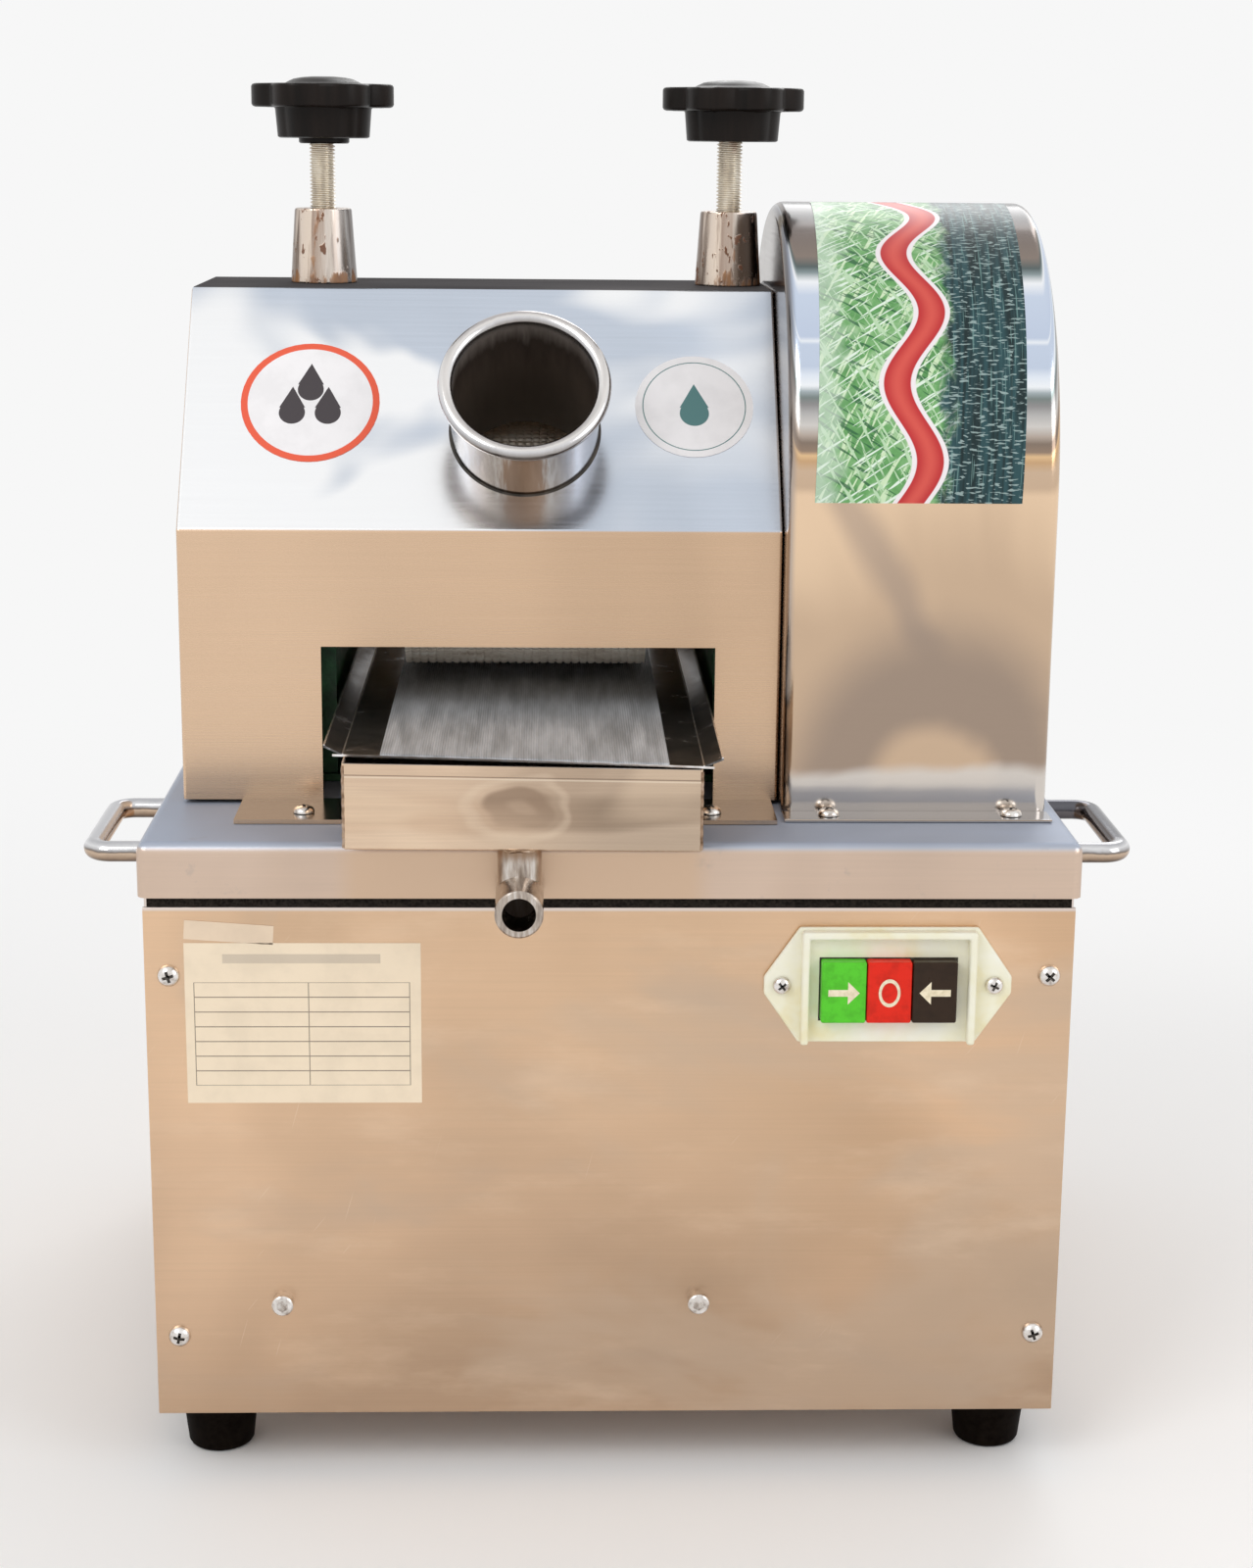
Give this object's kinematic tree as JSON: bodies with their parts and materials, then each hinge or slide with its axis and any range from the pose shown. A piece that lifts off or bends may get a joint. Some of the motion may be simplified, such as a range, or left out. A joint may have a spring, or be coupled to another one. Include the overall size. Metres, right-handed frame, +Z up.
{
  "type": "sugarcane juicer",
  "caption": "Desktop electric cane juicer: steel cabinet and deck, hooded roller mill with pressure screws, slanted feed tube, arched gear cover, sliding tray with spout, push-button switch.",
  "frame": {"origin": "on the floor, under the middle of the bounding box", "axes": "+Z up, -Y to the front where the juice spout points, +X to the right where the gear cover stands"},
  "size_m": [0.49, 0.503, 0.65],
  "materials": {
    "brushed_steel": "brushed stainless sheet",
    "polished_steel": "polished stainless sheet and tube",
    "deck_steel": "satin stainless sheet",
    "screw_steel": "bright plated screws",
    "green_cast_iron": "green painted cast iron",
    "machined_steel": "machined and oiled steel",
    "roller_steel": "fluted steel rollers, worn",
    "galvanised_thread": "zinc plated thread",
    "black_knob_plastic": "black moulded plastic",
    "black_rubber": "moulded rubber",
    "ivory_plastic": "ivory moulded plastic",
    "green_button_plastic": "green moulded plastic",
    "red_button_plastic": "red moulded plastic",
    "black_button_plastic": "black moulded plastic",
    "grey_motor_paint": "blue grey motor paint",
    "capacitor_shell": "white plastic can",
    "printed_sticker": "thin printed film"
  },
  "bodies": {
    "cabinet": {"base_tray": "deck_steel", "left_panel": "brushed_steel", "right_panel": "brushed_steel", "rear_panel": "brushed_steel", "front_panel": "brushed_steel", "deck": "deck_steel", "foot_front_left": "black_rubber", "foot_front_right": "black_rubber", "foot_rear_left": "black_rubber", "foot_rear_right": "black_rubber", "handle_left": "polished_steel", "handle_right": "polished_steel", "panel_screw_top_left": "screw_steel", "panel_screw_top_right": "screw_steel", "panel_screw_bottom_left": "screw_steel", "panel_screw_bottom_right": "screw_steel", "cap_screw_left": "screw_steel", "cap_screw_right": "screw_steel", "switch_body": "ivory_plastic", "switch_screw_left": "screw_steel", "switch_screw_right": "screw_steel", "hood": "brushed_steel", "gear_cover": "polished_steel", "base_bolt_left": "screw_steel", "base_bolt_right": "screw_steel", "cover_bolt_left": "screw_steel", "cover_bolt_right": "screw_steel", "mill_base": "green_cast_iron", "cheek_left": "green_cast_iron", "cheek_right": "green_cast_iron", "turn_plate": "machined_steel", "drive_chain": "machined_steel", "gearbox": "grey_motor_paint", "motor": "grey_motor_paint", "capacitor": "capacitor_shell", "boss_left": "brushed_steel", "boss_right": "brushed_steel", "feed_tube": "polished_steel", "outlet_chute": "brushed_steel", "cable_gland": "black_knob_plastic"},
    "juice_drawer": {"juice_tray": "polished_steel"},
    "strainer_sheet": {"strainer": "polished_steel"},
    "pressure_carriage": {"bearing_block_left": "machined_steel", "bearing_block_right": "machined_steel"},
    "left_screw_set": {"pressure_screw_left": "galvanised_thread", "pressure_knob_left": "black_knob_plastic"},
    "right_screw_set": {"pressure_screw_right": "galvanised_thread", "pressure_knob_right": "black_knob_plastic"},
    "top_roller_set": {"top_roller": "roller_steel", "top_gear": "machined_steel", "bull_sprocket": "machined_steel"},
    "front_roller_set": {"front_roller": "roller_steel", "front_gear": "machined_steel"},
    "rear_roller_set": {"rear_roller": "roller_steel", "rear_gear": "machined_steel"},
    "gearbox_output": {"drive_sprocket": "machined_steel"},
    "motor_shaft": {"motor_rotor": "machined_steel"},
    "forward_button": {"button_forward": "green_button_plastic"},
    "stop_button": {"button_stop": "red_button_plastic"},
    "reverse_button": {"button_reverse": "black_button_plastic"}
  },
  "joints": [
    {"name": "tray_slide", "type": "slide", "parent": "cabinet", "child": "juice_drawer", "axis": [0, -1, 0], "range_m": [0, 0.21]},
    {"name": "strainer_slide", "type": "slide", "parent": "juice_drawer", "child": "strainer_sheet", "axis": [0, -1, 0], "range_m": [0, 0.21]},
    {"name": "carriage_lift", "type": "slide", "parent": "cabinet", "child": "pressure_carriage", "axis": [0, 0, 1], "range_m": [0, 0.00194]},
    {"name": "left_screw_turn", "type": "hinge", "parent": "pressure_carriage", "child": "left_screw_set", "pos_m": [-0.1416, 0, 0.55], "axis": [0, 0, 1], "range_deg": [0, 400]},
    {"name": "right_screw_turn", "type": "hinge", "parent": "pressure_carriage", "child": "right_screw_set", "pos_m": [0.0612, 0, 0.55], "axis": [0, 0, 1], "range_deg": [0, 400]},
    {"name": "motor_spin", "type": "hinge", "parent": "cabinet", "child": "motor_shaft", "pos_m": [-0.08, 0, 0.1206], "axis": [1, 0, 0], "continuous": true},
    {"name": "output_spin", "type": "hinge", "parent": "cabinet", "child": "gearbox_output", "pos_m": [0.13, 0, 0.1206], "axis": [1, 0, 0], "continuous": true},
    {"name": "top_roller_spin", "type": "hinge", "parent": "pressure_carriage", "child": "top_roller_set", "pos_m": [-0.0402, 0, 0.45025], "axis": [1, 0, 0], "continuous": true},
    {"name": "front_roller_spin", "type": "hinge", "parent": "cabinet", "child": "front_roller_set", "pos_m": [-0.0402, -0.04, 0.396], "axis": [1, 0, 0], "continuous": true},
    {"name": "rear_roller_spin", "type": "hinge", "parent": "cabinet", "child": "rear_roller_set", "pos_m": [-0.0402, 0.04, 0.396], "axis": [1, 0, 0], "continuous": true},
    {"name": "forward_press", "type": "slide", "parent": "cabinet", "child": "forward_button", "axis": [0, 1, 0], "range_m": [0, 0.004], "stiffness_N_per_m": 400, "springref_m": -0.002},
    {"name": "stop_press", "type": "slide", "parent": "cabinet", "child": "stop_button", "axis": [0, 1, 0], "range_m": [0, 0.004], "stiffness_N_per_m": 400, "springref_m": -0.002},
    {"name": "reverse_press", "type": "slide", "parent": "cabinet", "child": "reverse_button", "axis": [0, 1, 0], "range_m": [0, 0.004], "stiffness_N_per_m": 400, "springref_m": -0.002}
  ],
  "couplings": [
    {"joint": "left_screw_turn", "follows": "carriage_lift", "rad_per_m": 3590.4},
    {"joint": "right_screw_turn", "follows": "carriage_lift", "rad_per_m": 3590.4},
    {"joint": "output_spin", "follows": "motor_spin", "ratio": 0.05},
    {"joint": "top_roller_spin", "follows": "motor_spin", "ratio": 0.017391},
    {"joint": "front_roller_spin", "follows": "motor_spin", "ratio": -0.017391},
    {"joint": "rear_roller_spin", "follows": "motor_spin", "ratio": -0.017391}
  ]
}
